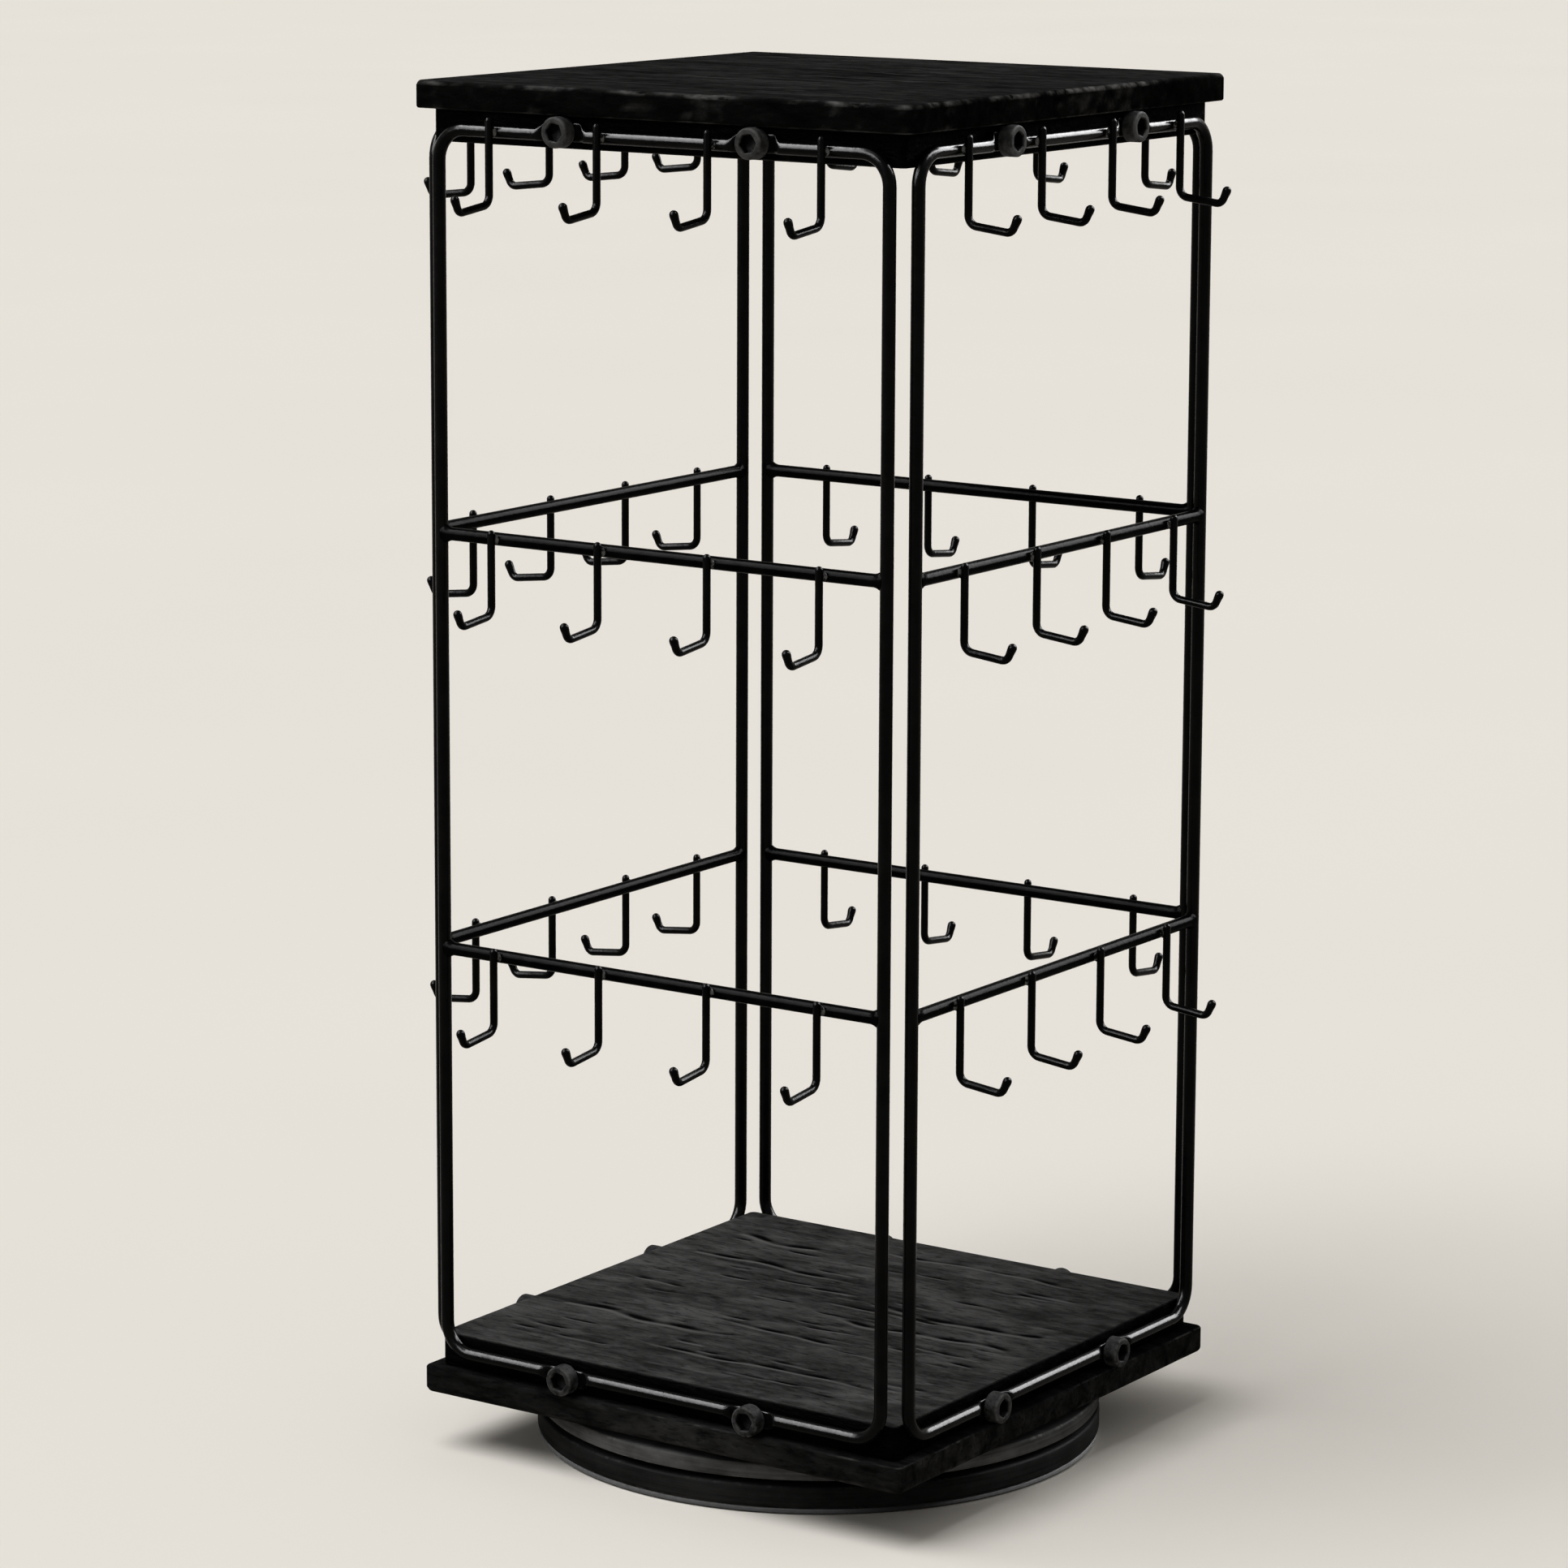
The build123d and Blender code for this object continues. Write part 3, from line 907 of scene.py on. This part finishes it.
for name, cad_node, height, finish in (
    ("base_socket_screws", "base_frame_screws", base_screw, base_screw_metal),
    ("top_socket_screws", "top_frame_screws", top_screw, top_screw_metal),
):
    data = bmesh.new()
    layers = {key: data.verts.layers.float.new(key) for key in ("wear", "hollow_shade")}
    for number, side in enumerate(sides):
        for spot in (-1, 1):
            turn = 0.4 * number + 0.9 * spot
            screw(data, layers, side, spot * screw_pitch / 2, height, turn)
    add_piece(data, name, "turning_stand", "screw_metal", finish, cad_node, sharp=32)

# The hidden pieces keep their CAD shape and get their finish
for cad_node, finish in (
    ("glide_pads", nylon), ("pivot_bolt", zinc), ("lock_nut", zinc), ("foam_pads", foam),
):
    cad_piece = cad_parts[cad_node]
    cad_piece.data.materials.clear()
    cad_piece.data.materials.append(finish)

# Floor and light
floor_reach = 14.0
floor_drop = 0.0002
scene = bpy.context.scene
floor_mesh = bpy.data.meshes.new("floor")
floor_mesh.from_pydata(
    [(x * floor_reach, y * floor_reach, -floor_drop) for x, y in ((-1, -1), (1, -1), (1, 1), (-1, 1))],
    [], [(0, 1, 2, 3)],
)
floor = bpy.data.objects.new("floor", floor_mesh)
scene.collection.objects.link(floor)
floor_look, tree, shader, coordinates = material("pale_floor")
soft_tone = streaks(tree, coordinates, (3, 3, 3), 1.0, detail=2)
floor_colour = ramp(tree, soft_tone, ((0.3, (0.825, 0.79, 0.73)), (0.7, (0.835, 0.80, 0.74))))
tree.links.new(floor_colour, shader.inputs["Base Color"])
shader.inputs["Roughness"].default_value = 0.9
shader.inputs["Specular IOR Level"].default_value = 0.0
floor_mesh.materials.append(floor_look)

# The view and the gloss see a pale wall, and the rest of the light is dimmer
world = bpy.data.worlds.new("studio")
scene.world = world
world.use_nodes = True
tree = world.node_tree
background = tree.nodes["Background"]
seen = node(tree, "ShaderNodeBackground")
seen.inputs["Color"].default_value = (0.86, 0.84, 0.80, 1)
seen.inputs["Strength"].default_value = 1.0
background.inputs["Color"].default_value = (1.0, 0.985, 0.96, 1)
background.inputs["Strength"].default_value = 0.3
path = node(tree, "ShaderNodeLightPath")
shown = combine(tree, "MAXIMUM", path.outputs["Is Camera Ray"], path.outputs["Is Transmission Ray"])
shown = combine(tree, "MAXIMUM", shown, path.outputs["Is Glossy Ray"])
chosen = node(tree, "ShaderNodeMixShader")
tree.links.new(shown, chosen.inputs["Fac"])
tree.links.new(background.outputs["Background"], chosen.inputs[1])
tree.links.new(seen.outputs["Background"], chosen.inputs[2])
tree.links.new(chosen.outputs["Shader"], tree.nodes["World Output"].inputs["Surface"])


def direction_of(azimuth, elevation):
    """Direction toward an azimuth and elevation; 0 is the front, 90 the right."""
    around, up = math.radians(azimuth), math.radians(elevation)
    level = math.cos(up)
    return Vector((math.sin(around) * level, -math.cos(around) * level, math.sin(up)))


lamp_aim = Vector((0, 0, 0.2))
lamp_distance = 3.0


def lamp_of(name, kind, toward, along):
    """A lamp that shines on the object from a direction, its long side turned along another."""
    lamp = bpy.data.objects.new(name, bpy.data.lights.new(name, kind))
    long_side = (along - toward * along.dot(toward)).normalized()
    turn = Matrix((long_side.cross(toward), long_side, toward)).transposed().to_4x4()
    lamp.matrix_world = Matrix.Translation(lamp_aim + toward * lamp_distance) @ turn
    scene.collection.objects.link(lamp)
    return lamp


def sun(name, azimuth, elevation, strength, spread):
    """A sun from an azimuth and elevation, as wide as a spread in degrees."""
    lamp = lamp_of(name, "SUN", direction_of(azimuth, elevation), Vector((0, 0, 1)))
    lamp.data.energy = strength
    lamp.data.angle = math.radians(spread)


def reflector(name, toward, along, radiance, width, length):
    """A bright card that only shows in gloss, as a long highlight on the wires."""
    lamp = lamp_of(name, "AREA", toward, along)
    lamp.data.shape = "RECTANGLE"
    lamp.data.size = width
    lamp.data.size_y = length
    lamp.data.energy = radiance * math.pi * width * length
    lamp.visible_diffuse = False
    lamp.visible_camera = False


sun("overhead_key", azimuth=-35, elevation=64, strength=2.3, spread=45)

# One card for the wires along each axis, seen from the photograph's side, and its twin for the far side
card_width, card_length = 0.8, 2.4
half_turn = Matrix.Rotation(math.pi, 3, "Z")
for name, toward, axis, radiance in (
    ("x_wire_card", Vector((-0.557, -0.420, 0.717)), Vector((1, 0, 0)), 92),
    ("y_wire_card", Vector((0.330, 0.811, 0.483)), Vector((0, 1, 0)), 64),
):
    for card_name, direction in ((name, toward), (f"{name}_behind", half_turn @ toward)):
        reflector(card_name, direction, axis.cross(direction), radiance, card_width, card_length)

# Camera, matched to the photograph's frame of 1932 by 1932 pixels
photo_size = 1932
focal_pixels = 6684.273
centre_row = 869.4
camera_azimuth = 34.488
camera_elevation = 10.349
camera_roll = 0.23
camera_place = Vector((0.832937, -1.231219, 0.479808))
sensor = 36.0
toward = direction_of(camera_azimuth, camera_elevation)
right = (-toward).cross(Vector((0, 0, 1))).normalized()
above = right.cross(-toward)
roll = math.radians(camera_roll)
level = right * math.cos(roll) + above * math.sin(roll)
upward = above * math.cos(roll) - right * math.sin(roll)
camera = bpy.data.objects.new("camera", bpy.data.cameras.new("camera"))
camera.data.sensor_width = sensor
camera.data.lens = focal_pixels * sensor / photo_size
camera.data.shift_y = (centre_row - photo_size / 2) / photo_size
camera.data.clip_start = 0.05
camera.data.clip_end = 60
camera_turn = Matrix((level, upward, toward)).transposed().to_4x4()
camera.matrix_world = Matrix.Translation(camera_place) @ camera_turn
scene.collection.objects.link(camera)
scene.camera = camera
scene.view_settings.view_transform = "Standard"
